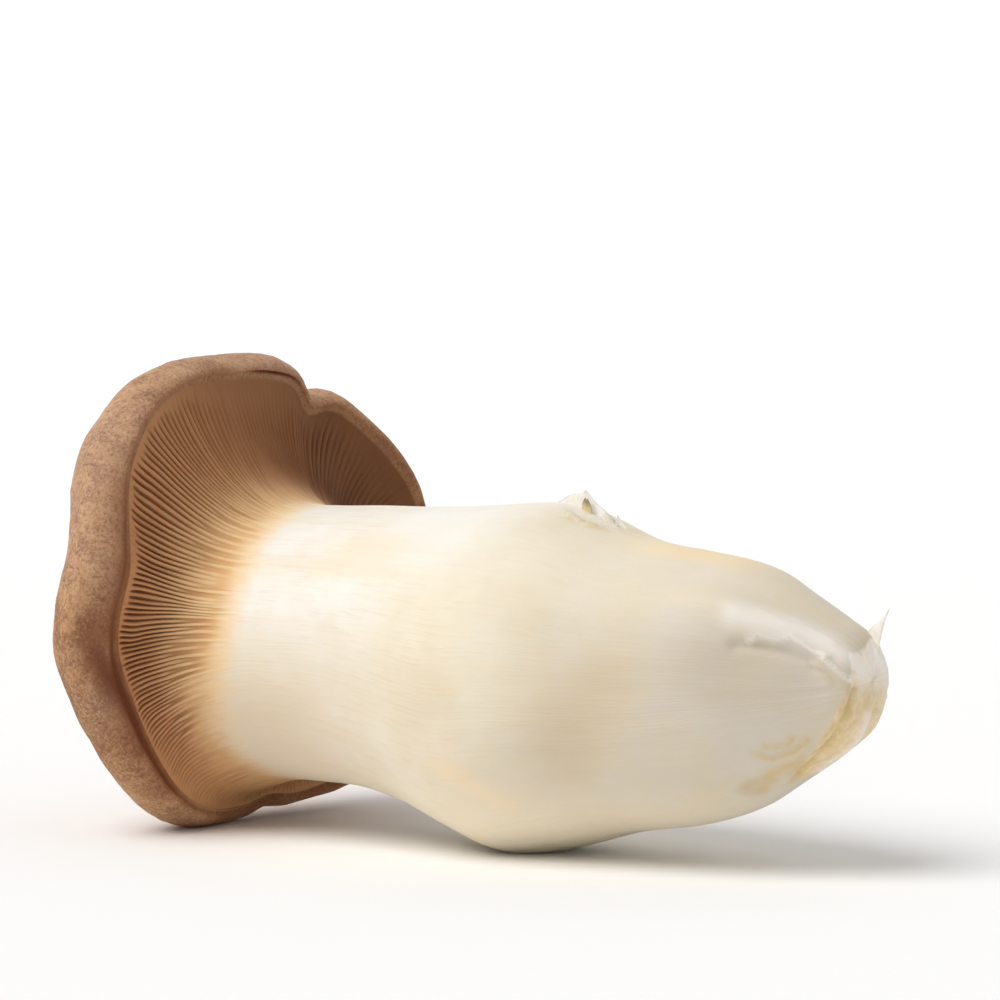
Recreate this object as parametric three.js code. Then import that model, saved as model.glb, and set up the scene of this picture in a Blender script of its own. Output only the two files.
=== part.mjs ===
// King oyster mushroom (Pleurotus eryngii) lying on its side, in millimetres, +Z up.
// The cap is at -X and the cut butt at +X. The mushroom grew as one piece, so it is one closed mesh:
// rings of points run from the crown of the cap over its rolled rim, down the gills and along the stem.
import * as THREE from "three";

// Driving dimensions
const RIM_RADIUS = 36;
const GILL_LINE_RADIUS = 31.8;
const RESTING_DEPTH = 34.4; // the surface it lies on, below the middle of the gill plane
const GILL_PLANE_FROM_ORIGIN = new THREE.Vector3(-45.25, -3.1, RESTING_DEPTH);

// Profile rings: distance from the gill plane towards the butt, radius, height of the ring's centre,
// and how far the ring follows the waved rim and the waved gill line (0 is round, 1 is all the way).
const CAP_PROFILE = [
  [-17.0, 0.0, -2.0, 0.5, 0],
  [-16.7, 10.0, -2.5, 0.6, 0],
  [-15.4, 19.5, -3.8, 0.75, 0],
  [-12.8, 27.5, -5.2, 0.9, 0],
  [-9.0, 33.6, -6.5, 1, 0],
  [-4.6, RIM_RADIUS, -7.0, 1, 0],
  [-1.2, 35.2, -7.0, 0.75, 0.25],
  [0.6, 33.4, -7.0, 0.35, 0.65],
];
const GILL_PROFILE = [
  [0.0, GILL_LINE_RADIUS, -7.0, 0, 1],
  [0.6, 29.2, -7.0, 0, 0.85],
  [2.0, 26.2, -7.0, 0, 0.6],
  [4.2, 23.6, -7.0, 0, 0.3],
  [7.4, 21.4, -7.0, 0, 0.1],
  [11.5, 20.2, -7.0, 0, 0],
];
const STEM_PROFILE = [
  [17.0, 20.1, -7.0, 0, 0],
  [25.0, 20.4, -7.0, 0, 0],
  [34.0, 21.5, -7.9, 0, 0],
  [43.0, 23.4, -9.3, 0, 0],
  [51.0, 24.7, -10.2, 0, 0],
  [60.0, 23.5, -9.8, 0, 0],
  [70.0, 20.7, -9.9, 0, 0],
  [80.0, 19.2, -9.7, 0, 0],
  [89.0, 16.9, -9.0, 0, 0],
  [96.0, 13.2, -8.6, 0, 0],
  [102.0, 9.7, -8.1, 0, 0],
  [105.7, 7.1, -7.6, 0, 0],
  [107.3, 4.2, -7.3, 0, 0],
  [107.5, 0.0, -7.2, 0, 0],
];
const PROFILE = [...CAP_PROFILE, ...GILL_PROFILE, ...STEM_PROFILE];
const GILL_LINE = CAP_PROFILE.length; // station where the rolled rim ends and the gills begin
const STEM_START = GILL_LINE + GILL_PROFILE.length; // station where the gills have run out on the stem
const BUTT = PROFILE.length - 1;

// The waved cap: radii every 30 degrees from the top round by the near side, -Y, and how far each stretch
// of the rim leans forward over the stem.
const RIM_RADII = [41.5, 42.2, 38.2, 34.5, 31.5, 29.8, 27.8, 29.8, 38.5, 41, 42.6, 43.4];
const GILL_LINE_RADII = [38, 39.2, 32.4, 28.5, 27, 26.7, 25, 27.2, 34.5, 37, 38.8, 39.6];
const RIM_LEAN = [-1.5, -1, 0.5, 0, 1, 1, 0, 2, 4, 5, 6, -1];

// Smaller waves of the rim: middle and half-width in degrees, how far out and how far forward they push it.
const RIM_WAVES = [
  { turn: -28, width: 4.5, out: -3.2, lean: 0 }, // notch between two lobes
  { turn: 46, width: 9, out: 0.6, lean: -0.2 },
  { turn: 67, width: 9, out: -0.4, lean: 0.8 },
  { turn: 90, width: 11, out: 0.2, lean: -0.6 },
  { turn: -168, width: 9, out: -1.1, lean: 0 },
];

// Gills: every full gill runs down on to the stem, and one short gill starts between each pair.
const FULL_GILLS = 72;
const GROOVE_DEPTH = 2.4;
const GROOVE_START = GILL_LINE + 0.1; // stations where the grooves open, are deepest and end
const GROOVE_FULL = GILL_LINE + 1;
const GROOVE_END = STEM_START - 0.3;
const SHORT_GILL_FADE = [GILL_LINE + 1.6, GILL_LINE + 3.2]; // stations between which a short gill sinks away

// Swellings and hollows of the skin: place along the stem, place round it in degrees from the top by the near
// side, half-widths in millimetres along and round, and height.
const SWELLINGS = [
  { x: 94, turn: 78, along: 9, round: 6, height: -1.5 }, // hollow beside the butt
  { x: 92, turn: 42, along: 11, round: 2.6, height: 1.1 }, // fold of skin above the hollow
  { x: 57, turn: -4, along: 6, round: 9, height: 0.8 }, // shoulder under the torn skin
];

// Rings of the mesh: the station of each ring and its number of points
const PLAIN_COLUMNS = FULL_GILLS;
const RINGS = [
  ...ringsAt([0.6, 1.2, 1.8, 2.4, 3.0, 3.5, 4.0, 4.5, 5.0, 5.4, 5.8, 6.3, 6.8, 7.3], PLAIN_COLUMNS),
  ...ringsAt([7.7], 2 * FULL_GILLS),
  ...ringsAt([GROOVE_START, 8.5, GROOVE_FULL, 9.8, 10.6], 4 * FULL_GILLS),
  ...ringsAt([SHORT_GILL_FADE[1], 12, 12.8, 13.5], 2 * FULL_GILLS),
  ...ringsAt([STEM_START], PLAIN_COLUMNS),
  ...ringsAt([14.7, 15.4, 16, 16.6, 17.1, 17.5, 17.8, 18.1, 18.4, 18.8, 19.3, 19.8, 20.4], PLAIN_COLUMNS),
  ...ringsAt([21, 21.5, 21.9, 22.2, 22.6, 23, 23.5, 24, 24.5, 25, 25.5, 26, 26.4], PLAIN_COLUMNS),
];

function ringsAt(stations, columns) {
  return stations.map((station) => ({ station, columns }));
}

// Value of a uniform Catmull-Rom spline between b and c, a share t of the way.
function spline(a, b, c, d, t) {
  const linear = c - a;
  const square = 2 * a - 5 * b + 4 * c - d;
  const cube = 3 * b - a - 3 * c + d;
  return 0.5 * (2 * b + linear * t + square * t * t + cube * t * t * t);
}

// The profile's numbers at a station that may lie between two rings.
function profileAt(station) {
  const i = Math.min(Math.floor(station), BUTT - 1);
  const row = (k) => PROFILE[Math.max(0, Math.min(BUTT, k))];
  const numbers = row(i).map((_, n) => spline(row(i - 1)[n], row(i)[n], row(i + 1)[n], row(i + 2)[n], station - i));
  const [x, radius, centre, rimShare, gillShare] = numbers;
  return { x, radius: Math.max(radius, 0), centre, rimShare, gillShare };
}

// A value given at equal steps round the cap, at any angle.
function roundTheCap(values, angle) {
  const place = (angle / (2 * Math.PI)) * values.length;
  const i = Math.floor(place);
  const at = (k) => values[(k + 2 * values.length) % values.length];
  return spline(at(i - 1), at(i), at(i + 1), at(i + 2), place - i);
}

// Height of the swellings and hollows at a place on the stem.
function swelling(x, angle, radius) {
  return SWELLINGS.reduce((sum, { x: middle, turn, along, round, height }) => {
    const aside = radius * angleFrom(turn, angle);
    return sum + height * Math.exp(-(((x - middle) / along) ** 2) - (aside / round) ** 2);
  }, 0);
}

// How far the small waves push the rim, either out or forward.
function rimWave(push, angle) {
  return RIM_WAVES.reduce((sum, wave) => {
    const away = angleFrom(wave.turn, angle) / THREE.MathUtils.degToRad(wave.width);
    return sum + wave[push] * Math.exp(-(away ** 2));
  }, 0);
}

// Angle from a turn in degrees, the short way round.
function angleFrom(turn, angle) {
  const turned = angle - THREE.MathUtils.degToRad(turn);
  return Math.atan2(Math.sin(turned), Math.cos(turned));
}

// A point of the body without its grooves, in the frame of the gill plane.
function skinPoint(station, angle) {
  const { x, radius, centre, rimShare, gillShare } = profileAt(station);
  const rim = roundTheCap(RIM_RADII, angle) / RIM_RADIUS - 1;
  const gillLine = roundTheCap(GILL_LINE_RADII, angle) / GILL_LINE_RADIUS - 1;
  const waved = radius * (1 + rimShare * rim + gillShare * gillLine);
  const capShare = (rimShare + gillShare) * Math.min(1, (radius / GILL_LINE_RADIUS) ** 2);
  const out = waved + capShare * rimWave("out", angle) + swelling(x, angle, waved);
  return new THREE.Vector3(
    x + capShare * (roundTheCap(RIM_LEAN, angle) + rimWave("lean", angle)),
    -out * Math.sin(angle),
    centre + out * Math.cos(angle),
  );
}

function outwardNormal(station, angle) {
  const step = 0.01;
  const forward = skinPoint(station + step, angle).sub(skinPoint(station - step, angle));
  const round = skinPoint(station, angle + step).sub(skinPoint(station, angle - step));
  return round.cross(forward).normalize();
}

// Depth of a full groove at a station: it opens just inside the rim and runs out on the stem.
function grooveDepth(station) {
  if (station <= GROOVE_START || station >= GROOVE_END) return 0;
  const opening = THREE.MathUtils.smoothstep(station, GROOVE_START, GROOVE_FULL);
  const left = (GROOVE_END - station) / (GROOVE_END - GROOVE_FULL);
  return GROOVE_DEPTH * opening * Math.min(1, left) ** 0.7;
}

// Share of the groove's depth at an angle: none on a full gill, all of it in a groove, and on a short gill
// none by the rim and all of it where the short gill has ended.
function grooveShare(station, angle) {
  const quarter = Math.round((angle / (2 * Math.PI)) * 4 * FULL_GILLS) % 4;
  if (quarter === 0) return 0;
  return quarter === 2 ? THREE.MathUtils.smoothstep(station, ...SHORT_GILL_FADE) : 1;
}

function bodyPoint(station, angle) {
  const point = skinPoint(station, angle);
  const depth = grooveDepth(station) * grooveShare(station, angle);
  if (depth > 0) point.addScaledVector(outwardNormal(station, angle), -depth);
  point.add(GILL_PLANE_FROM_ORIGIN);
  point.z = Math.max(point.z, 0); // the flat spots that it rests on
  return point;
}

// Triangles between two rings that may have different numbers of points.
function strip(first, firstCount, second, secondCount, triangles) {
  let i = 0;
  let j = 0;
  while (i < firstCount || j < secondCount) {
    const a = first + (i % firstCount);
    const b = second + (j % secondCount);
    const firstNext = i < firstCount && (i + 1) / firstCount <= (j + 1) / secondCount;
    if (firstNext) {
      i += 1;
      triangles.push(a, first + (i % firstCount), b);
    } else {
      j += 1;
      triangles.push(a, second + (j % secondCount), b);
    }
  }
}

function mushroomGeometry() {
  const points = [bodyPoint(0, 0)];
  const triangles = [];
  let previous = { start: 0, columns: 1 };
  for (const { station, columns } of RINGS) {
    const start = points.length;
    for (let k = 0; k < columns; k++) points.push(bodyPoint(station, (2 * Math.PI * k) / columns));
    if (previous.columns === 1) fan(previous.start, start, columns, false, triangles);
    else strip(previous.start, previous.columns, start, columns, triangles);
    previous = { start, columns };
  }
  points.push(bodyPoint(BUTT, 0));
  fan(points.length - 1, previous.start, previous.columns, true, triangles);
  const geometry = new THREE.BufferGeometry().setFromPoints(points);
  geometry.setIndex(triangles);
  geometry.computeVertexNormals();
  return geometry;
}

function fan(pole, start, columns, atButt, triangles) {
  for (let k = 0; k < columns; k++) {
    const a = start + k;
    const b = start + ((k + 1) % columns);
    triangles.push(pole, ...(atButt ? [a, b] : [b, a]));
  }
}

const flesh = new THREE.MeshStandardMaterial({ color: 0xefe0c6, roughness: 0.6, metalness: 0 });
const mushroom = new THREE.Mesh(mushroomGeometry(), flesh);
mushroom.name = "king_oyster_mushroom";

const part = new THREE.Group();
part.add(mushroom);

export default part;
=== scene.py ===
import math

import bmesh
import bpy
import numpy as np
from mathutils import Matrix, Vector, noise


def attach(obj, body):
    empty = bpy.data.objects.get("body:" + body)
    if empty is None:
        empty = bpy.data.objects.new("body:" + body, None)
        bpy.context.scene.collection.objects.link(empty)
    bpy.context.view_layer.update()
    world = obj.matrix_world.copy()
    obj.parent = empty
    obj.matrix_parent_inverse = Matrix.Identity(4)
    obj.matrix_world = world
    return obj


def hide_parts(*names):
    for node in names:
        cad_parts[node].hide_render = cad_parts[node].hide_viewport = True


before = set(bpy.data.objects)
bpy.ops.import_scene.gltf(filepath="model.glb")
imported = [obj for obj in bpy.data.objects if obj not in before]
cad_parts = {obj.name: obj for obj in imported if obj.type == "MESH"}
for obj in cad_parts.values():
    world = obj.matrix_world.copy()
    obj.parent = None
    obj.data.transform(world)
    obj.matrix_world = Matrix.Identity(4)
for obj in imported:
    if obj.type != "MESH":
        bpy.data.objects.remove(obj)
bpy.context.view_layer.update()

MM = 0.001
NODE = "king_oyster_mushroom"

# Driving dimensions, in millimetres, as in the solid that this surface replaces. The origin is on the
# surface that the mushroom lies on, under its middle, and the gill plane's middle is given from there.
RIM_RADIUS = 36.0
GILL_LINE_RADIUS = 31.8
STEM_RADIUS = 20.0
RESTING_DEPTH = 34.4
GILL_PLANE_FROM_ORIGIN = np.array([-45.25, -3.1, RESTING_DEPTH])

# Profile rings: distance from the gill plane towards the butt, radius, height of the ring's centre,
# and how far the ring follows the waved rim and the waved gill line.
CAP_PROFILE = [
    (-17.0, 0.0, -2.0, 0.5, 0),
    (-16.7, 10.0, -2.5, 0.6, 0),
    (-15.4, 19.5, -3.8, 0.75, 0),
    (-12.8, 27.5, -5.2, 0.9, 0),
    (-9.0, 33.6, -6.5, 1, 0),
    (-4.6, RIM_RADIUS, -7.0, 1, 0),
    (-1.2, 35.2, -7.0, 0.75, 0.25),
    (0.6, 33.4, -7.0, 0.35, 0.65),
]
GILL_PROFILE = [
    (0.0, GILL_LINE_RADIUS, -7.0, 0, 1),
    (0.6, 29.2, -7.0, 0, 0.85),
    (2.0, 26.2, -7.0, 0, 0.6),
    (4.2, 23.6, -7.0, 0, 0.3),
    (7.4, 21.4, -7.0, 0, 0.1),
    (11.5, 20.2, -7.0, 0, 0),
]
STEM_PROFILE = [
    (17.0, 20.1, -7.0, 0, 0),
    (25.0, 20.4, -7.0, 0, 0),
    (34.0, 21.5, -7.9, 0, 0),
    (43.0, 23.4, -9.3, 0, 0),
    (51.0, 24.7, -10.2, 0, 0),
    (60.0, 23.5, -9.8, 0, 0),
    (70.0, 20.7, -9.9, 0, 0),
    (80.0, 19.2, -9.7, 0, 0),
    (89.0, 16.9, -9.0, 0, 0),
    (96.0, 13.2, -8.6, 0, 0),
    (102.0, 9.7, -8.1, 0, 0),
    (105.7, 7.1, -7.6, 0, 0),
    (107.3, 4.2, -7.3, 0, 0),
    (107.5, 0.0, -7.2, 0, 0),
]
PROFILE = np.array(CAP_PROFILE + GILL_PROFILE + STEM_PROFILE, float)
GILL_LINE = len(CAP_PROFILE)
STEM_START = GILL_LINE + len(GILL_PROFILE)
BUTT = len(PROFILE) - 1

# The waved cap, every 30 degrees from the top round by the near side, -Y
RIM_RADII = [41.5, 42.2, 38.2, 34.5, 31.5, 29.8, 27.8, 29.8, 38.5, 41, 42.6, 43.4]
GILL_LINE_RADII = [38, 39.2, 32.4, 28.5, 27, 26.7, 25, 27.2, 34.5, 37, 38.8, 39.6]
RIM_LEAN = [-1.5, -1, 0.5, 0, 1, 1, 0, 2, 4, 5, 6, -1]

# Smaller waves of the rim: turn and half-width in degrees, how far out and how far forward they push it
RIM_WAVES = [
    (-28, 4.5, -3.2, 0),
    (46, 9, 0.6, -0.2),
    (67, 9, -0.4, 0.8),
    (90, 11, 0.2, -0.6),
    (-168, 9, -1.1, 0),
]

# Marks on the rolled rim: station, turn, their half-widths in stations and degrees, and height
RIM_MARKS = [
    (7.5, -13, 0.14, 7, -1.3),
    (7.25, 113, 0.42, 24, -1.0),
    (7.25, 62, 0.45, 24, -0.28),
    (7.8, 161, 0.15, 21, 0.4),
]

# Swellings and hollows of the skin: place along the stem, turn in degrees from the top by the near side,
# half-widths along and round, and height. The first three are in the solid too.
SWELLINGS = [
    (94, 78, 9, 6, -1.5),
    (92, 42, 11, 2.6, 1.1),
    (57, -4, 6, 9, 0.8),
    (101.7, 91, 3.6, 4.2, -0.6),
    (93.0, 150, 1.5, 1.6, -0.55),
    (98.0, 158, 1.2, 1.6, -0.4),
    (62, -8, 2.4, 2.6, -0.6),
    (31, 100, 16, 7, -0.35),
    (70, 60, 14, 8, -0.3),
]
BUTT_HOLLOWS = SWELLINGS[:1] + SWELLINGS[3:6]  # which the finish darkens with painted shade

# The edge of the torn face, as places along the stem and turns: its ragged stretch, and all the way round
TORN_EDGE = [(106.8, 86), (106.3, 107), (104.3, 131), (101.6, 145), (98.4, 155), (96.0, 163)]
TORN_RING = [
    (106.7, 0), (107.0, 30), (106.3, 50), (106.9, 66), *TORN_EDGE,
    (101, 188), (105.5, 215), (105.2, 300), (105.9, 336), (106.7, 360),
]

# Folds of the skin: half-width, height and the path, as places along the stem and turns
FOLDS = [
    (2.1, 0.4, [(92.5, 47), (99.2, 42), (103.5, 44), (105.8, 52)]),
    (0.3, 0.3, [(95.0, 40), (98.4, 42), (101.0, 38), (104.6, 42)]),
    (0.32, 0.55, [(94.6, 57), (96.0, 53), (97.9, 53), (99.6, 49), (101.1, 51), (102.6, 55), (104.4, 56)]),
    (0.8, -0.7, [(93.0, 61), (96.5, 58), (99.6, 58), (102.2, 61)]),
    (0.35, 0.95, [(103.6, 59), (105.2, 67), (106.6, 80)]),
    (0.5, -0.5, [(102.6, 68), (104.2, 73), (105.7, 85)]),
    (0.5, 0.4, [(107.3, -20), (107.2, -70), (107.1, -120)]),
    (0.45, 0.45, TORN_EDGE),
    (0.4, -0.45, [(107.0, 97), (106.6, 116), (104.8, 140), (102.2, 153), (99.0, 161), (96.5, 169)]),
    (0.8, 0.45, [(107.2, 168), (105.8, 177), (102.4, 178), (99.4, 178)]),
    (0.4, 0.35, [(96.9, 125), (98.6, 131), (99.9, 127)]),
    (0.35, 0.3, [(95.4, 128), (97.0, 137), (99.6, 138), (101.5, 133)]),
    (0.45, 0.3, [(90.6, 148), (91.4, 156), (93.6, 160), (95.4, 156)]),
    (0.4, 0.4, [(58.4, 6), (60.6, 10), (63.2, 10), (65.6, 7)]),
    (0.35, -0.3, [(59.4, 3), (61.4, 6), (63.8, 6), (65.4, 3)]),
]

# Strokes of another colour on the skin, each a half-width and a path: pale folds, partly painted highlight,
# yellowish stains, a peachy and a dusky tint, and scuffs on the ridge
PALE_PATHS = [
    (2.0, FOLDS[0][2]),
    (0.4, FOLDS[2][2]),
    (0.45, FOLDS[4][2]),
    (1.1, FOLDS[6][2]),
    (0.9, FOLDS[9][2]),
    (1.9, [(56.5, -3), (60.5, 1), (64.5, 0)]),
]
STAIN_PATHS = [
    (1.3, [(107.0, 100), (106.5, 118), (104.8, 138), (102.2, 152), (99.0, 160), (96.5, 168)]),
    (1.5, [(92.2, 150), (93.8, 152)]),
    (1.7, [(93.2, 156), (96.2, 148), (99.2, 150)]),
    (1.3, [(97.2, 152), (98.6, 157)]),
    (0.75, FOLDS[10][2]),
    (0.7, FOLDS[11][2]),
]
PEACHY_PATHS = [
    (5.0, [(30.0, 43), (35.5, 41)]),
    (1.8, [(51.3, 115), (55.2, 122), (59.1, 132)]),
]
DUSKY_PATHS = [
    (6.5, [(69.7, 108), (73.9, 93), (76.0, 82)]),
]
SCUFF_PATHS = [
    (1.6, [(59.2, -4), (62, 0), (65.5, 0)]),
    (1.2, [(60.6, 10), (65.0, 8)]),
]

# Gills: full gills run down on to the stem, and a shorter one starts between each pair.
FULL_GILLS = 108
GROOVE_DEPTH = 1.15
GROOVE_START = GILL_LINE + 0.04
GROOVE_FULL = GILL_LINE + 0.7
GROOVE_END = STEM_START - 0.3
SHORT_GILL_END = STEM_START - 1.3
BLADE_EDGE, BLADE_FOOT = 0.08, 0.25  # half-widths of a blade, as shares of the spacing

# Where the gills are low and close: how much so, turn and half-width in degrees
CALM_STRETCHES = [(1, -6, 36), (0.9, -52, 34), (0.65, 146, 42), (0.8, 208, 26)]

# The net: columns of points round the skin, and rows of points along each stretch of the profile
SKIN_COLUMNS = 2 * FULL_GILLS
GILL_CUTS = 5  # new points between two columns where the gills are
POLE_GAP = 0.12  # from each pole to the nearest row, in stations
ROLL_START = 6.2
BACK_ROWS, ROLL_ROWS, GILL_ROWS, BUTT_ROWS = 28, 18, 48, 46
GILL_ROWS_END, BUTT_ROWS_START = 18.6, 90.5
STEM_ROWS = [(19.2, 55.6, 22), (56.2, 68.4, 16), (69.4, 90.0, 14)]  # from, to, and how many rows
PROFILE_SAMPLES = 4000


def spline(a, b, c, d, t):
    """A uniform Catmull-Rom value, a share t of the way from b to c."""
    linear = c - a
    square = 2 * a - 5 * b + 4 * c - d
    cube = 3 * b - a - 3 * c + d
    return 0.5 * (2 * b + linear * t + square * t * t + cube * t * t * t)


def smoothstep(value, low, high):
    t = np.clip((value - low) / (high - low), 0, 1)
    return t * t * (3 - 2 * t)


def profile_at(station):
    """The profile's five numbers at stations that may lie between two rings."""
    i = np.minimum(np.floor(station).astype(int), BUTT - 1)
    rows = [PROFILE[np.clip(i + k, 0, BUTT)] for k in (-1, 0, 1, 2)]
    return spline(*rows, (station - i)[:, None]).T


def round_the_cap(values, angle):
    """A value given at equal steps round the cap, at any angle."""
    values = np.array(values, float)
    place = angle / (2 * np.pi) * len(values)
    i = np.floor(place).astype(int)
    return spline(*[values[(i + k) % len(values)] for k in (-1, 0, 1, 2)], place - i)


def angle_from(turn, angle):
    """Angle from a turn in degrees, the short way round."""
    turned = angle - math.radians(turn)
    return np.arctan2(np.sin(turned), np.cos(turned))


def bump(turn, width, angle):
    """1 at a turn, fading to nothing on both sides over a width in degrees."""
    return np.exp(-((angle_from(turn, angle) / math.radians(width)) ** 2))


def rim_waves(angle):
    """How far the small waves push the rim out, and how far forward."""
    pushes = [
        (out * bump(turn, width, angle), lean * bump(turn, width, angle))
        for turn, width, out, lean in RIM_WAVES
    ]
    return np.sum(pushes, axis=0)


def rim_marks(station, angle):
    """Height of the creases and the lip on the rolled rim."""
    marks = [
        height * np.exp(-(((station - middle) / along) ** 2)) * bump(turn, width, angle)
        for middle, turn, along, width, height in RIM_MARKS
    ]
    return np.sum(marks, axis=0)


def swell(swellings, x, angle, radius):
    """Height of swellings and hollows at places on the stem."""
    total = 0
    for middle, turn, along, aside, height in swellings:
        off_side = radius * angle_from(turn, angle) / aside
        total = total + height * np.exp(-(((x - middle) / along) ** 2) - off_side**2)
    return total


def radius_at(station):
    """The stem's radius, without its swellings."""
    return np.maximum(profile_at(station)[1], 0)


def skin_points(station, angle):
    """Points of the body without its grooves, in millimetres from the middle of the gill plane."""
    x, radius, centre, rim_share, gill_share = profile_at(station)
    radius = np.maximum(radius, 0)
    rim = round_the_cap(RIM_RADII, angle) / RIM_RADIUS - 1
    gill_line = round_the_cap(GILL_LINE_RADII, angle) / GILL_LINE_RADIUS - 1
    waved = radius * (1 + rim_share * rim + gill_share * gill_line)
    cap_share = (rim_share + gill_share) * np.minimum(1, (radius / GILL_LINE_RADIUS) ** 2)
    push_out, push_forward = rim_waves(angle)
    out = waved + cap_share * push_out + swell(SWELLINGS, x, angle, waved)
    x = x + cap_share * (round_the_cap(RIM_LEAN, angle) + push_forward)
    return np.stack([x, -out * np.sin(angle), centre + out * np.cos(angle)], -1)


def outward_normals(station, angle):
    """Directions straight out of the skin, from two small steps along it."""
    step = 0.01
    behind = skin_points(np.maximum(station - step, 0), angle)
    forward = skin_points(np.minimum(station + step, BUTT), angle) - behind
    around = skin_points(station, angle + step) - skin_points(station, angle - step)
    normals = np.cross(around, forward)
    length = np.linalg.norm(normals, axis=1, keepdims=True)
    ahead = np.sign(station - GILL_LINE)[:, None] * [1, 0, 0]
    return np.where(length > 1e-6, normals / np.maximum(length, 1e-9), ahead)


def lumps(points, size, seed):
    """Smooth noise from about -1 to 1, with lumps about size across."""
    return np.array([noise.noise(Vector(p)) for p in points / size + 31.7 * seed])


def lumpy(points, *kinds):
    """Lumps of several kinds together, each of its own height, size and seed."""
    return sum(height * lumps(points, size, seed) for height, size, seed in kinds)


def on_a_tube(angle, radius, length):
    """Points on a tube, where noise and fibres close on themselves round the mushroom."""
    return np.stack([radius * np.cos(angle), radius * np.sin(angle), length], -1)


def distance_to(path, points):
    """Distance of points from a path over the skin, given as places along the stem and turns."""
    x, turns = np.array(path, float).T
    corners = skin_points(station_at(x), np.radians(turns))
    nearest = np.full(len(points), np.inf)
    for start, end in zip(corners, corners[1:]):
        run = end - start
        share = np.clip((points - start) @ run / (run @ run), 0, 1)
        nearest = np.minimum(nearest, np.linalg.norm(points - start - share[:, None] * run, axis=1))
    return nearest


def strokes(paths, points):
    """1 on any of the paths, fading away over the half-width of each."""
    return np.max([stroke(width, path, points) for width, path in paths], axis=0)


def stroke(width, path, points):
    return np.exp(-((distance_to(path, points) / width) ** 2))


def profile_lengths():
    """Stations along the profile and the length of profile up to each, from the gill line."""
    station = np.linspace(0, BUTT, PROFILE_SAMPLES)
    x, radius = profile_at(station)[:2]
    length = np.concatenate([[0], np.cumsum(np.hypot(np.diff(x), np.diff(radius)))])
    return station, length - np.interp(GILL_LINE, station, length)


STATIONS, LENGTHS = profile_lengths()


def length_at(station):
    """Length of profile from the gill line to a station, less than nothing on the cap."""
    return np.interp(station, STATIONS, LENGTHS)


def even_stations(first, last, count):
    """Stations at equal lengths along the profile."""
    return np.interp(np.linspace(*length_at([first, last]), count), LENGTHS, STATIONS)


def station_at(x):
    """The station on the stem at a distance from the gill plane."""
    rows = np.arange(STEM_START, BUTT + 1)
    return np.interp(x, PROFILE[rows, 0], rows)


class Gills:
    """How the gills shape the surface: each gill has its own height and length, and all of them waver."""

    def __init__(self):
        draw = np.random.default_rng(7)
        self.sunk = draw.uniform(0, 0.3, (2, FULL_GILLS))
        ends = np.array([[GROOVE_END], [SHORT_GILL_END]])
        self.end = ends + draw.uniform(-0.9, 0.5, (2, FULL_GILLS))

    def waver(self, station, angle):
        """How far the gills swing round, in radians."""
        sector = 2 * np.pi / FULL_GILLS
        swing = 0
        for size, across, along in ((0.7, 3, 16), (0.14, 13, 6)):
            swing = swing + size * lumps(on_a_tube(angle, across, length_at(station) / along), 1, across)
        ended = smoothstep(station, STEM_START, STEM_START + 2)
        there = smoothstep(station, GILL_LINE, GILL_LINE + 1.5) * (1 - ended)
        sweep = math.radians(4) * bump(40, 20, angle) + math.radians(14) * bump(122, 34, angle)
        inward = np.clip((station - GILL_LINE) / (STEM_START - GILL_LINE), 0, 1)
        return sector * swing * there - sweep * inward

    def groove(self, station, angle):
        """Depth of the groove, and the share of it: 0 on a gill's edge and 1 at the bottom.

        The grooves open unevenly behind the rim, and late where the near side turns down.
        """
        place = angle / (2 * np.pi) * FULL_GILLS
        late = 0.35 * lumps(on_a_tube(angle, 60, np.zeros_like(angle)), 1, 14) + 0.7 * bump(64, 14, angle)
        opening = smoothstep(station, GROOVE_START + 0.5 * late, GROOVE_FULL + 1.2 * calm(angle) + late)
        station = station + 1.1 * early(angle)
        left = np.clip((GROOVE_END - station) / (GROOVE_END - GROOVE_FULL), 0, 1)
        uneven = lumps(on_a_tube(angle, 9, station), 1, 12)
        depth = GROOVE_DEPTH * opening * left * (1 - 0.75 * calm(angle)) * (1 + 0.55 * uneven)
        widening = 0.06 * smoothstep(station, GILL_LINE + 2, STEM_START)
        bottom = 1
        for kind, shift in enumerate((0, 0.5)):
            gill = np.round(place - shift).astype(int) % FULL_GILLS
            beside = np.abs(place - shift - np.round(place - shift))
            blade = 1 - smoothstep(beside, BLADE_EDGE + widening, BLADE_FOOT + widening)
            ended = smoothstep(station, self.end[kind, gill] - 1.2, self.end[kind, gill])
            bottom = bottom - blade * (1 - np.maximum(ended, self.sunk[kind, gill]))
        return depth, np.clip(bottom, 0, 1)


def calm(angle):
    """Where the gills are low and close: under the top of the rim, and less so at the bottom."""
    return np.max([share * bump(turn, width, angle) for share, turn, width in CALM_STRETCHES], axis=0)


def early(angle):
    """Where the gills end and pale nearer the rim: low on the near side."""
    return bump(128, 30, angle)


GILLS = Gills()


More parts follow.
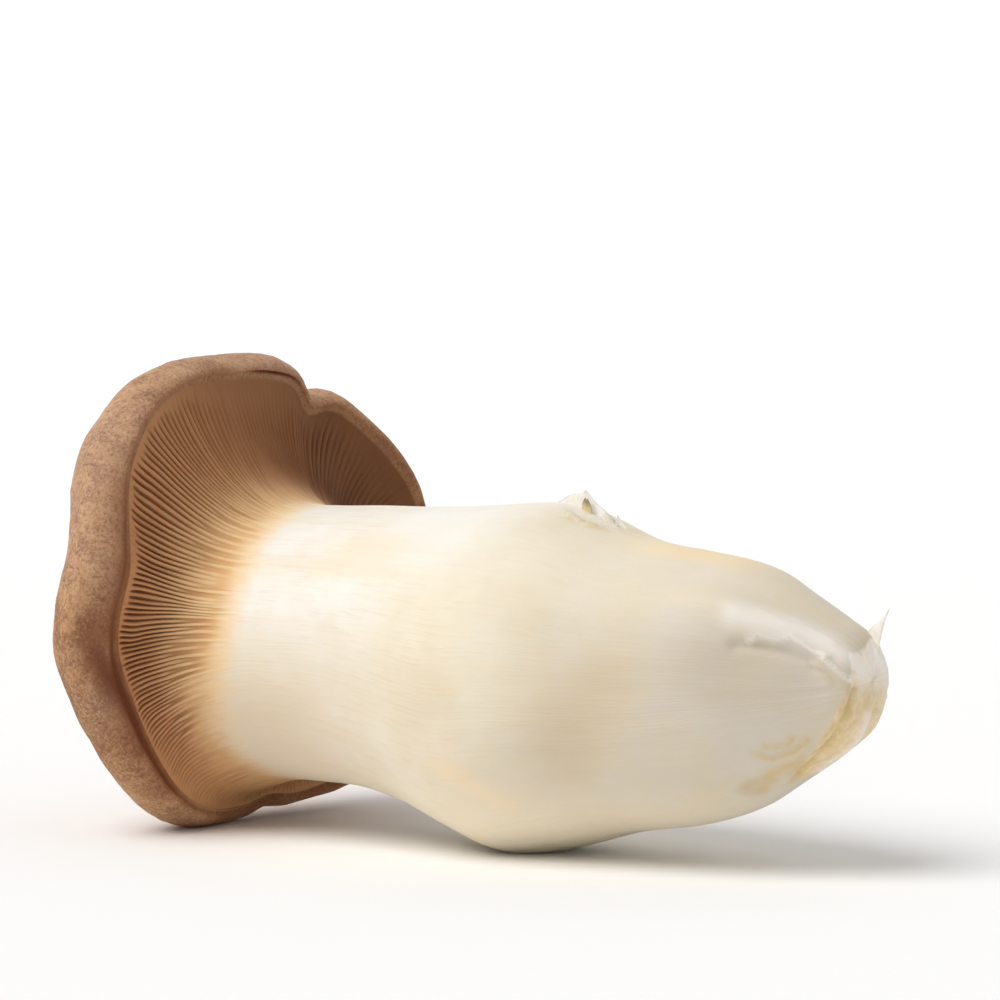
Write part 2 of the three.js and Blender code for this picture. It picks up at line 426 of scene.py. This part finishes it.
def body_net():
    """The net of the whole surface: a tube of unit radius round X, whose points' X is their station."""
    back = even_stations(POLE_GAP, ROLL_START - 0.1, BACK_ROWS)
    roll = even_stations(ROLL_START, GILL_LINE - 0.06, ROLL_ROWS)
    gills = even_stations(GROOVE_START, station_at(GILL_ROWS_END), GILL_ROWS)
    stem = [even_stations(station_at(start), station_at(end), rows) for start, end, rows in STEM_ROWS]
    butt = even_stations(station_at(BUTT_ROWS_START), BUTT - POLE_GAP, BUTT_ROWS)
    bm = bmesh.new()
    line = [bm.verts.new((station, 0, 1)) for station in np.concatenate([back, roll, gills, *stem, butt])]
    edges = [bm.edges.new(pair) for pair in zip(line, line[1:])]
    bmesh.ops.spin(
        bm, geom=line + edges, cent=(0, 0, 0), axis=(1, 0, 0), dvec=(0, 0, 0),
        angle=2 * math.pi, steps=SKIN_COLUMNS, use_merge=True, use_duplicate=False,
    )
    first, last = gills[0] - 1e-4, gills[-1] + 1e-4
    across = [e for e in bm.edges if is_ring_edge(e) and first < e.verts[0].co.x < last]
    bmesh.ops.subdivide_edges(bm, edges=across, cuts=GILL_CUTS, use_grid_fill=True, use_single_edge=True)
    for pole in (0, BUTT):
        rim = [e for e in bm.edges if e.is_boundary and abs(e.verts[0].co.x - pole) < 1]
        end_face = bmesh.ops.contextual_create(bm, geom=rim)["faces"]
        for vertex in bmesh.ops.poke(bm, faces=end_face)["verts"]:
            vertex.co = (pole, 0, 0)
    return bm


def is_ring_edge(edge):
    """Whether an edge of the net runs round the mushroom."""
    return abs(edge.verts[0].co.x - edge.verts[1].co.x) < 1e-5


def shape_body(mesh):
    """Moves the net's points on to the mushroom's surface and keeps what the finish needs to know."""
    flat = np.empty(3 * len(mesh.vertices))
    mesh.vertices.foreach_get("co", flat)
    net = flat.reshape(-1, 3)
    station = net[:, 0]
    plain_angle = np.arctan2(-net[:, 1], net[:, 2])
    angle = plain_angle + GILLS.waver(station, plain_angle)
    points = skin_points(station, angle)
    depth, share = GILLS.groove(station, plain_angle)
    torn = torn_share(points, angle)
    masks = skin_masks(points, station, angle, torn)
    masks["groove"] = share * smoothstep(depth, 0, 0.35)
    rise = skin_rise(points, station, angle, torn) - depth * share
    points = points + outward_normals(station, angle) * rise[:, None] + GILL_PLANE_FROM_ORIGIN
    points[:, 2] = np.maximum(points[:, 2], 0)
    mesh.vertices.foreach_set("co", (points * MM).ravel())
    for name, values in masks.items():
        mesh.attributes.new(name, "FLOAT", "POINT").data.foreach_set("value", values)
    radius = np.where(station < GILL_LINE, GILL_LINE_RADIUS, STEM_RADIUS)
    around = on_a_tube(plain_angle, radius, length_at(station))
    mesh.attributes.new("around", "FLOAT_VECTOR", "POINT").data.foreach_set("vector", around.ravel())


def skin_rise(points, station, angle, torn):
    """How far lumps, fibres, marks and folds lift the skin."""
    on_cap = 1 - smoothstep(station, GILL_LINE - 1.2, GILL_LINE - 0.2)
    on_stem = smoothstep(station, STEM_START, STEM_START + 1.5)
    grain = on_a_tube(angle, STEM_RADIUS, length_at(station) / 8)
    rise = on_cap * lumpy(points, (0.38, 13, 3), (0.25, 5, 4), (0.07, 1.6, 5))
    rise += on_stem * (lumpy(points, (0.25, 16, 6)) + lumpy(grain, (0.07, 2.2, 7), (0.03, 0.9, 8)))
    rise += torn * lumpy(points, (0.25, 3.2, 9), (0.05, 1.3, 10))
    rise += rim_marks(station, angle)
    for width, height, path in FOLDS:
        rise += height * stroke(width, path, points)
    return rise


def skin_masks(points, station, angle, torn):
    """What the finish needs to know at each point: lengths in millimetres, and shares from 0 to 1."""
    length = length_at(station)
    marks = rim_marks(station, angle)
    # Where painted shade darkens the rolled rim on the near side
    rim_shade_station = 6.0 + 1.2 * smoothstep(angle, math.radians(82), math.radians(112))
    hollow = -swell(BUTT_HOLLOWS, points[:, 0], angle, radius_at(station))
    return {
        "along": length,
        "paling": length + 3.8 * early(angle),
        "calm": calm(angle),
        # Where painted shade falls on the gills: by the far fold, and nearer the stem
        "far_fold": bump(-50, 31, angle),
        "inner_shade": np.exp(-(((length - 7.5) / 4.5) ** 2)) * bump(-16, 15, angle),
        "crease": np.clip(-marks / 0.8, 0, 1),
        "rim_shade": np.exp(-(((station - rim_shade_station) / 0.75) ** 2)) * bump(99, 19, angle),
        "lip": np.clip(marks / 0.45, 0, 1),
        "torn": torn,
        "hollow": np.clip(hollow, 0, 1),
        "stain": strokes(STAIN_PATHS, points),
        "pale": strokes(PALE_PATHS, points),
        "scuff": strokes(SCUFF_PATHS, points),
        "peachy": strokes(PEACHY_PATHS, points),
        "dusky": strokes(DUSKY_PATHS, points),
    }


def torn_share(points, angle):
    """Where the skin has been torn away at the butt: 1 there and 0 on whole skin."""
    edge_x, edge_turn = np.array(TORN_RING, float).T
    edge = np.interp(np.degrees(angle) % 360, edge_turn, edge_x)
    ragged = 0.4 * lumps(points, 1.2, 13)
    return smoothstep(points[:, 0] - edge + ragged, -0.5, 0.7)


def as_object(name, bm):
    """A smooth-shaded object in the scene, from a finished bmesh."""
    mesh = bpy.data.meshes.new(name)
    bm.to_mesh(mesh)
    bm.free()
    mesh.polygons.foreach_set("use_smooth", [True] * len(mesh.polygons))
    thing = bpy.data.objects.new(name, mesh)
    bpy.context.scene.collection.objects.link(thing)
    return thing


def make_body():
    """The whole mushroom but its flakes of torn skin, as one closed surface."""
    body = as_object("mushroom_body", body_net())
    shape_body(body.data)
    bm = bmesh.new()
    bm.from_mesh(body.data)
    bmesh.ops.recalc_face_normals(bm, faces=bm.faces)
    bm.to_mesh(body.data)
    bm.free()
    return body


# Torn flakes of skin: place along the stem, turn, heading of the base in degrees from the stem's
# direction towards the near side, direction of the tip, length, width, how far the tip curls back in
# degrees, sharpness (1 for a straight-sided point), and how yellow
FLAKES = [
    (60.3, -4, 0, (-0.2, 0.1, 1), 3.35, 14.0, 5, 1.25, 0.0),
    # This small yellow flake sits in the first flake's opening; its brown tip is partly painted shade there
    (60.7, -1, 0, (-0.1, 0.1, 1), 2.3, 2.0, 4, 0.35, 1.0),
    (63.6, -3, -10, (0.2, 0.2, 1), 1.5, 2.6, 15, 0.6, 0.2),
    (66.8, -4, 10, (-0.75, 0.0, 0.8), 3.0, 2.2, -8, 1.3, 0.2),
    (67.8, -1, 20, (-0.95, 0.1, 0.5), 2.6, 1.6, -5, 1.2, 0.3),
    (106.3, -24, -40, (0.42, 0.1, 0.88), 5.0, 2.1, -6, 1.5, 0.1),
]
SUNK_ROOT = 0.45  # how deep a flake's base sits in the skin
FLAKE_THICKNESS = 0.16
FLAKE_COLUMNS, FLAKE_ROWS = 8, 12


def make_flakes():
    """The flakes: thin cupped points of skin whose bases follow the stem's surface."""
    bm = bmesh.new()
    tip_share = bm.verts.layers.float.new("tip")
    yellow_share = bm.verts.layers.float.new("yellow")
    for x, turn, heading, tip, length, width, curl, sharpness, yellow in FLAKES:
        station, angle = station_at(np.array([x])), np.radians([float(turn)])
        radius = radius_at(station)[0]
        outward = Vector(outward_normals(station, angle)[0])
        near_side = Vector((0, -math.cos(angle[0]), -math.sin(angle[0])))
        forward = outward.cross(near_side).normalized()
        forward *= math.copysign(1, forward.x)
        along, aside = math.cos(math.radians(heading)), math.sin(math.radians(heading))
        across = forward * along + near_side * aside
        ahead = Vector(tip).normalized()
        face = across.cross(ahead).normalized()
        made = bmesh.ops.create_grid(bm, x_segments=FLAKE_COLUMNS, y_segments=FLAKE_ROWS, size=0.5)
        for vertex in made["verts"]:
            share, side = vertex.co.y + 0.5, 2 * vertex.co.x
            bend = math.radians(curl) * share
            run = length * share * (1 + 0.06 * math.sin(5 * side + x))
            narrowing = (1 - 0.97 * share) ** sharpness * (1 + 0.08 * math.sin(7 * share + x))
            half = 0.5 * width * side * narrowing
            cup = 0.1 * min(width, 4) * (1 - side * side) * (1 - 0.5 * share)
            foot_x = np.array([x + half * along])
            foot_angle = angle + half * aside / radius
            foot = Vector(skin_points(station_at(foot_x), foot_angle)[0] + GILL_PLANE_FROM_ORIGIN)
            rise = ahead * run * math.cos(bend) + face * (run * math.sin(bend) + cup)
            vertex.co = (foot - outward * SUNK_ROOT + rise) * MM
            vertex[tip_share] = share
            vertex[yellow_share] = yellow
        faces = list(dict.fromkeys(face for vertex in made["verts"] for face in vertex.link_faces))
        bmesh.ops.solidify(bm, geom=faces, thickness=FLAKE_THICKNESS * MM)
    bmesh.ops.recalc_face_normals(bm, faces=bm.faces)
    return as_object("torn_skin", bm)


class Sock:
    """A shader socket that works in Python expressions."""

    def __init__(self, finish, socket):
        self.finish = finish
        self.socket = socket

    def maths(self, operation, *values):
        return self.finish.node("ShaderNodeMath", {"operation": operation}, dict(enumerate(values)))

    def __add__(self, other):
        return self.maths("ADD", self, other)

    def __sub__(self, other):
        return self.maths("SUBTRACT", self, other)

    def __mul__(self, other):
        return self.maths("MULTIPLY", self, other)

    def __radd__(self, other):
        return self.maths("ADD", other, self)

    def __rsub__(self, other):
        return self.maths("SUBTRACT", other, self)

    def __rmul__(self, other):
        return self.maths("MULTIPLY", other, self)


def paint(code):
    """A colour as Blender keeps it, from a six-figure code."""
    shares = [int(code[i:i + 2], 16) / 255 for i in (0, 2, 4)]
    return [s / 12.92 if s <= 0.04045 else ((s + 0.055) / 1.055) ** 2.4 for s in shares] + [1]


class Finish:
    """A material and the few ways in which its nodes are made."""

    def __init__(self, name, constants):
        self.material = bpy.data.materials.new(name)
        self.material.use_nodes = True
        self.tree = self.material.node_tree
        self.surface = next(n for n in self.tree.nodes if n.type == "BSDF_PRINCIPLED")
        for socket, value in constants.items():
            self.surface.inputs[socket].default_value = value

    def plug(self, socket, value):
        if isinstance(value, Sock):
            self.tree.links.new(value.socket, socket)
        else:
            socket.default_value = value

    def node(self, kind, settings=None, values=None, output=0):
        """Any node: its type, its settings, which are set first, and the values or links of its sockets."""
        node = self.tree.nodes.new(kind)
        for key, value in (settings or {}).items():
            setattr(node, key, value)
        for key, value in (values or {}).items():
            self.plug(node.inputs[key], value)
        return Sock(self, node.outputs[output])

    def attribute(self, name, output="Fac"):
        return self.node("ShaderNodeAttribute", {"attribute_name": name}, output=output)

    def place(self):
        """Object coordinates in millimetres."""
        metres = self.node("ShaderNodeTexCoord", output="Object")
        return self.stretched(metres, [1 / MM] * 3)

    def stretched(self, vector, shares):
        return self.node("ShaderNodeVectorMath", {"operation": "MULTIPLY"}, {0: vector, 1: shares})

    def noise(self, vector, size, detail=2.0, roughness=0.5):
        """Noise from 0 to 1 whose lumps are about size millimetres across."""
        values = {"Vector": vector, "Scale": 1 / size, "Detail": detail, "Roughness": roughness}
        return self.node("ShaderNodeTexNoise", values=values)

    def part(self, vector, axis):
        return self.node("ShaderNodeSeparateXYZ", values={0: vector}, output=axis)

    def ease(self, value, low, high):
        """0 below low and 1 above high, or the other way round where low is the larger."""
        values = {"Value": value, "From Min": low, "From Max": high}
        return self.node("ShaderNodeMapRange", {"interpolation_type": "SMOOTHSTEP"}, values)

    def mix(self, share, first, second, blend="MIX"):
        settings = {"data_type": "RGBA", "blend_type": blend, "clamp_factor": True}
        return self.node("ShaderNodeMix", settings, {0: share, 6: first, 7: second}, output=2)

    def finish(self, colour, roughness, height, relief):
        """Plugs in what changes over the surface: height is in units of relief millimetres."""
        self.plug(self.surface.inputs["Base Color"], colour)
        self.plug(self.surface.inputs["Roughness"], roughness)
        values = {"Strength": 1.0, "Distance": relief * MM, "Height": height}
        self.plug(self.surface.inputs["Normal"], self.node("ShaderNodeBump", values=values))
        return self.material


FLESH = {
    "Subsurface Weight": 0.25,
    "Subsurface Radius": (1.0, 0.5, 0.28),
    "Subsurface Scale": 2.5 * MM,
    "IOR": 1.4,
    "Specular IOR Level": 0.4,
}


def cap_finish(f, place, around, along):
    """Colour of the brown felted cap, with painted light and shade, and how high its felt stands."""
    cloudy = f.noise(place, 14, 2, 0.5)
    mottle = f.noise(place, 3.6, 4, 0.65)
    felt = f.noise(place, 0.45, 3, 0.7)
    fibrils = f.noise(f.stretched(around, (1, 1, 0.2)), 0.55, 3, 0.65)
    upper = f.part(place, "Z")
    colour = f.mix(f.ease(mottle, 0.36, 0.66), paint("c19469"), paint("906243"))
    colour = f.mix(f.ease(cloudy, 0.45, 0.68) * 0.5, colour, paint("c6a38a"))
    colour = f.mix(f.ease(f.noise(place, 2.4, 2), 0.5, 0.66) * 0.4, colour, paint("a8705c"))
    # Painted light: the cap lighter towards its top and on its upper near side
    colour = f.mix(f.ease(upper, 36.0, 62.0) * 0.25, colour, paint("d2b29a"))
    nearest = f.ease(f.part(place, "Y"), -22.0, -33.0) * f.ease(upper, 28.0, 42.0)
    colour = f.mix(nearest * 0.25, colour, paint("cfae92"))
    # Painted shade: the cap darker low down, less so at its very bottom, where painted light then lightens
    # it
    painted_shade_low = f.ease(upper, 34.0, 14.0) * (0.3 + 0.7 * f.ease(upper, 5.0, 16.0))
    colour = f.mix(painted_shade_low * 0.35, colour, paint("7f5335"))
    colour = f.mix(f.ease(upper, 14.0, 3.0) * 0.35, colour, paint("cba47c"))
    colour = f.mix(f.ease(felt, 0.5, 0.33) * 0.4, colour, paint("dcba96"))
    # Painted shade on the inner side of the rolled rim by the gills, less on top, darkest in a band at the
    # gill line
    shade_by_gills = f.ease(along, -8.0, -1.5) * f.ease(f.noise(place, 5, 3), 0.25, 0.55)
    colour = f.mix(shade_by_gills * (0.6 - 0.35 * f.ease(upper, 44.0, 60.0)), colour, paint("855235"))
    colour = f.mix(f.ease(along, -3.2, -0.8) * 0.5, colour, paint("8a582f"))
    # Painted shade: a soft dark band on the rolled rim on the near side
    colour = f.mix(f.attribute("rim_shade") * 0.9, colour, paint("6a371b"))
    # Painted shade in the creases of the rolled rim
    colour = f.mix(f.ease(f.attribute("crease"), 0.0, 0.6) * 0.85, colour, paint("662e12"))
    colour = f.mix(f.ease(felt, 0.5, 0.68) * 0.5, colour, paint("784c2f"))
    colour = f.mix(f.ease(fibrils, 0.54, 0.72) * 0.35, colour, paint("70432a"))
    lip = f.ease(along, -0.8, -0.2)
    colour = f.mix(f.attribute("lip") * lip, colour, paint("dcb487"))
    return colour, felt * 0.6 + fibrils * 0.4


def gill_finish(f, place, around, along):
    """Colour of the gills: brown at the rim, with grooves darker, partly their own colour and partly
    painted shade, paling to cream towards the stem.
    """
    upper = f.part(place, "Z")
    near = f.part(around, "Y")
    calm = f.attribute("calm")
    groove = f.attribute("groove")
    angle = f.node("ShaderNodeMath", {"operation": "ARCTAN2"}, {0: near, 1: f.part(around, "X")})
    spacing = angle * (2 * FULL_GILLS / (2 * math.pi))
    between = f.node("ShaderNodeMath", {"operation": "PINGPONG"}, {0: spacing, 1: 0.5})
    smallest = f.ease(between, 0.36, 0.48) * f.ease(along, 8.0, 3.0)
    inward = f.ease(along + 1.5 * f.noise(place, 5, 2) - 4.5 * calm, 4.0, 19.0)
    edge = f.mix(inward, paint("bf8a60"), paint("f7d4a1"))
    bottom = f.mix(inward, paint("73401f"), paint("ecbc84"))
    # The groove bottoms darker than the edges: partly the gills' own browner colour, partly painted shade
    # between the gills
    low = f.ease(groove, 0.08, 0.9) * (1 - 0.5 * calm) * (1 - 0.4 * smallest)
    colour = f.mix(low, edge, bottom)
    streaks = f.noise(f.stretched(around, (1, 1, 0.1)), 0.4, 3, 0.6)
    colour = f.mix(f.ease(streaks, 0.46, 0.72) * 0.3 * (1 - 0.6 * inward), colour, paint("8f5f3c"))
    # Painted shade where the far part of the rim curls over the gills, and a second patch nearer the stem
    shaded = f.attribute("far_fold") * f.ease(along, 17.0, 8.0)
    bands = f.noise(f.stretched(around, (1, 1, 0.1)), 3.2, 2, 0.5)
    colour = f.mix(shaded * (0.85 + 0.4 * bands), colour, paint("52302a"), "MULTIPLY")
    colour = f.mix(0.9 * f.attribute("inner_shade"), colour, paint("aa8b73"), "MULTIPLY")
    # Painted shade: the gills high under the cap browner and darker, darkest towards the far side
    top = calm * f.ease(along, 13.0, 5.0) * f.ease(upper, 15.0, 35.0)
    colour = f.mix(top * 0.55, colour, paint("96663c"))
    colour = f.mix(top * f.ease(near, 13.0, 3.0) * 0.4, colour, paint("7a4a2a"))
    # Painted light: the lowest gills lighter
    colour = f.mix(f.ease(upper, 18.0, 5.0) * 0.65, colour, paint("cf9d6c"))
    return colour


def stem_finish(f, place, around, along, paling):
    """Colour of the cream stem with its long fine fibres, greyer towards the butt, and its painted light
    and shade.
    """
    upper = f.part(place, "Z")
    towards_top = f.part(around, "X")
    cloudy = f.noise(place, 15, 3, 0.55)
    fibres = f.noise(f.stretched(around, (1, 1, 0.07)), 0.45, 4, 0.62)
    strands = f.noise(f.stretched(around, (1, 1, 0.05)), 2.2, 3, 0.6)
    fading = f.ease(along, 90.0, 40.0)
    whole = f.mix(f.ease(cloudy, 0.38, 0.66), paint("fdfbf8"), paint("f7f0e4"))
    creamier = f.mix(f.ease(cloudy, 0.38, 0.66), paint("f1e6cf"), paint("e9dbc0"))
    colour = f.mix(f.ease(along, 28.0, 58.0), whole, creamier)
    colour = f.mix(f.ease(strands, 0.5, 0.74) * (0.12 + 0.16 * fading), colour, paint("eed9b0"))
    colour = f.mix(f.ease(fibres, 0.48, 0.76) * (0.08 + 0.17 * fading), colour, paint("d3bb93"))
    low = f.ease(paling - along, 0.4, 3.4)
    joint = f.ease(paling, 22.5, 17.5) * (1 - 0.8 * low)
    colour = f.mix(0.5 * joint, colour, paint("ffe3b6"))
    under = f.ease(upper, 29.0, 9.0)
    shaded = (low + under - low * under) * f.ease(along, 44.0, 22.0)
    colour = f.mix(0.5 * shaded, colour, paint("c8a778"))
    # Greyer towards the butt and less so on top: partly the skin's own greyer tone, partly painted shade
    greyer = f.ease(along, 50.0, 90.0) * (1 - 0.6 * f.ease(upper, 33.0, 44.0))
    grey = f.mix(f.ease(f.noise(place, 9, 3), 0.35, 0.65), paint("d2c9bc"), paint("d4c6ae"))
    colour = f.mix(0.75 * greyer, colour, grey)
    # Painted light: a pale warm strip along the bottom of the stem
    colour = f.mix(0.6 * f.ease(upper, 14.0, 2.0), colour, paint("fff2d8"))
    # Painted reflected light: a warm pale strip along the top of the stem towards the butt
    top_edge_light = f.ease(towards_top, 18.2, 19.9) * f.ease(along, 72.0, 84.0) * f.ease(along, 102.0, 90.0)
    colour = f.mix(0.55 * top_edge_light, colour, paint("ffe2b0"))
    # Painted light: the top of the belly whiter
    lit_belly_top = f.ease(towards_top, 9.0, 17.0) * f.ease(along, 34.0, 44.0) * f.ease(along, 72.0, 52.0)
    colour = f.mix(0.6 * lit_belly_top, colour, paint("fcfaf6"))
    # Painted shade: the stem darker and yellower low down below the gills
    shade_below_gills = f.ease(upper, 38.0, 25.0) * f.ease(along, 58.0, 38.0)
    colour = f.mix(0.5 * shade_below_gills, colour, paint("e6d5b6"))
    colour = f.mix(0.55 * f.attribute("peachy"), colour, paint("f8e0bd"))
    colour = f.mix(0.5 * f.attribute("dusky"), colour, paint("cbb798"))
    scuffed = f.attribute("scuff") * f.ease(f.noise(place, 1.1, 3, 0.6), 0.4, 0.6)
    colour = f.mix(0.7 * scuffed, colour, paint("dcc08a"))
    return colour, fibres * 0.5 + strands * 0.5


def butt_finish(f, place, colour):
    """The stem's colour changed where its skin is torn, folded or stained at the butt, with painted shade
    in its hollows and painted light on its folds and torn face.
    """
    wrinkles = f.noise(place, 1.5, 4, 0.6)
    torn = f.ease(f.attribute("torn") + 0.3 * wrinkles - 0.15, 0.3, 0.7)
    # Painted shade in the hollows by the butt
    colour = f.mix(0.5 * f.attribute("hollow"), colour, paint("c2b8a8"))
    face = f.mix(f.ease(wrinkles, 0.35, 0.65), paint("f0dab3"), paint("e2c594"))
    # Painted light: the upper part of the torn face lighter
    face = f.mix(f.ease(f.part(place, "Z"), 24.0, 29.0), face, paint("fff6e8"))
    colour = f.mix(0.85 * torn, colour, face)
    stain = f.attribute("stain") * (0.5 + 0.5 * f.ease(wrinkles, 0.3, 0.6))
    colour = f.mix(0.7 * stain, colour, paint("d2b67b"))
    # Pale folds: whiter skin, partly painted highlight on their crests
    colour = f.mix(0.6 * f.attribute("pale"), colour, paint("f8f3ee"))
    return colour, wrinkles, torn


def mushroom_finish():
    """The finish of the whole body, where gills follow the cap and the stem follows the gills."""
    f = Finish("mushroom_skin", FLESH)
    place = f.place()
    around = f.attribute("around", "Vector")
    along = f.attribute("along")
    paling = f.attribute("paling")
    cap, felt = cap_finish(f, place, around, along)
    gills = gill_finish(f, place, around, along)
    stem, fibres = stem_finish(f, place, around, along, paling)
    ragged = f.noise(f.stretched(around, (1, 1, 0.3)), 1.4, 3, 0.6) * 5 - 2.5
    to_gills = f.ease(along, -0.1, 0.25)
    to_stem = f.ease(paling + ragged, 15.5, 22.0)
    colour = f.mix(to_stem, f.mix(to_gills, cap, gills), stem)
    colour, wrinkles, torn = butt_finish(f, place, colour)
    roughness = 0.74 - 0.22 * to_stem + 0.2 * (fibres - 0.5)
    height = f.node("ShaderNodeMix", {"data_type": "FLOAT"}, {0: to_stem, 2: felt, 3: fibres})
    return f.finish(colour, roughness, height + torn * (0.6 * wrinkles - height), 0.12)


def flake_finish():
    """Cream flesh that browns to the tip on the yellow flakes, partly painted shade on the flake in the
    first flake's opening.
    """
    f = Finish("torn_skin_edge", FLESH)
    shade = f.noise(f.place(), 0.9, 3, 0.6)
    tip = f.attribute("tip")
    yellow = f.attribute("yellow")
    colour = f.mix(f.ease(shade, 0.35, 0.7), paint("fffcf6"), paint("f8eeda"))
    # Browner to the tip on yellow flakes: their own colour, and on the flake in the first flake's opening
    # partly painted shade
    colour = f.mix(yellow, colour, f.mix(f.ease(tip, 0.3, 0.9), paint("dcc98c"), paint("6e5636")))
    colour = f.mix(f.ease(tip, 0.75, 1.0) * 0.3, colour, paint("d8c096"))
    return f.finish(colour, 0.55 + 0.1 * shade, shade, 0.08)


# The studio and the camera
AZIMUTH, ELEVATION = math.radians(35), math.radians(4)
CAMERA_DISTANCE = 0.8
LENS = 195.9
SENSOR_WIDTH = 36
AIM_ASIDE, AIM_UP = 37.5, 13.2  # millimetres from the gill plane's middle to the picture's centre
FLOOR_BEFORE, FLOOR_BEHIND = 3.0, 1.2  # metres of flat floor on either side of the object
BACKDROP_BEND, BACKDROP_HALF = 0.8, 4.0
KEY_FROM = (-0.52, 0.34, 0.82)  # to the right, towards the camera and up
KEY_STRENGTH, KEY_SPREAD = 1.9, 45
KEY_COLOUR = (1.0, 0.992, 0.975)
SKY_STRENGTH = 0.45

BACK = Vector((
    math.sin(AZIMUTH) * math.cos(ELEVATION),
    -math.cos(AZIMUTH) * math.cos(ELEVATION),
    math.sin(ELEVATION),
))
RIGHT = Vector((math.cos(AZIMUTH), math.sin(AZIMUTH), 0))
UP = BACK.cross(RIGHT)
AIM = (Vector(GILL_PLANE_FROM_ORIGIN) + RIGHT * AIM_ASIDE + UP * AIM_UP) * MM


def make_camera():
    camera = bpy.data.objects.new("camera", bpy.data.cameras.new("camera"))
    camera.data.lens = LENS
    camera.data.sensor_width = SENSOR_WIDTH
    camera.data.clip_start = 0.01
    turn = Matrix((RIGHT, UP, BACK)).transposed().to_4x4()
    camera.matrix_world = Matrix.Translation(AIM + BACK * CAMERA_DISTANCE) @ turn
    bpy.context.scene.collection.objects.link(camera)
    bpy.context.scene.camera = camera


def make_backdrop():
    """A pale floor that curves up into a wall behind the object."""
    bm = bmesh.new()
    bmesh.ops.create_grid(bm, x_segments=2, y_segments=120, size=1.0)
    level_back = Vector((BACK.x, BACK.y, 0)).normalized()
    for vertex in bm.verts:
        aside = RIGHT * vertex.co.x * BACKDROP_HALF
        run = (vertex.co.y + 1) * BACKDROP_HALF - FLOOR_BEHIND - FLOOR_BEFORE
        turn = min(max(run / BACKDROP_BEND, 0), math.pi / 2)
        past = max(run - BACKDROP_BEND * math.pi / 2, 0)
        level = min(run, 0) + BACKDROP_BEND * math.sin(turn)
        height = BACKDROP_BEND * (1 - math.cos(turn)) + past
        vertex.co = aside - level_back * (FLOOR_BEHIND + level) + Vector((0, 0, height))
    bmesh.ops.recalc_face_normals(bm, faces=bm.faces)
    backdrop = as_object("backdrop", bm)
    paper = {"Base Color": paint("fdfdfd"), "Roughness": 0.9, "Specular IOR Level": 0.0}
    backdrop.data.materials.append(Finish("pale_paper", paper).material)


def make_lights():
    """A white sky and one broad soft key light from the upper left."""
    world = bpy.data.worlds.new("studio")
    world.use_nodes = True
    sky = world.node_tree.nodes["Background"]
    sky.inputs["Color"].default_value = (1, 1, 1, 1)
    sky.inputs["Strength"].default_value = SKY_STRENGTH
    bpy.context.scene.world = world
    light = bpy.data.lights.new("key_light", "SUN")
    light.energy = KEY_STRENGTH
    light.angle = math.radians(KEY_SPREAD)
    light.color = KEY_COLOUR
    lamp = bpy.data.objects.new("key_light", light)
    aside, nearer, above = KEY_FROM
    spot = RIGHT * aside + Vector((BACK.x, BACK.y, 0)).normalized() * nearer + Vector((0, 0, above))
    lamp.matrix_world = Matrix.Translation(spot) @ spot.to_track_quat("Z", "Y").to_matrix().to_4x4()
    bpy.context.scene.collection.objects.link(lamp)


def main():
    make_camera()
    body = make_body()
    body.data.materials.append(mushroom_finish())
    flakes = make_flakes()
    flakes.data.materials.append(flake_finish())
    for piece in (body, flakes):
        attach(piece, "root")
    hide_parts(NODE)
    make_backdrop()
    make_lights()
    bpy.context.scene.view_settings.view_transform = "Standard"


main()
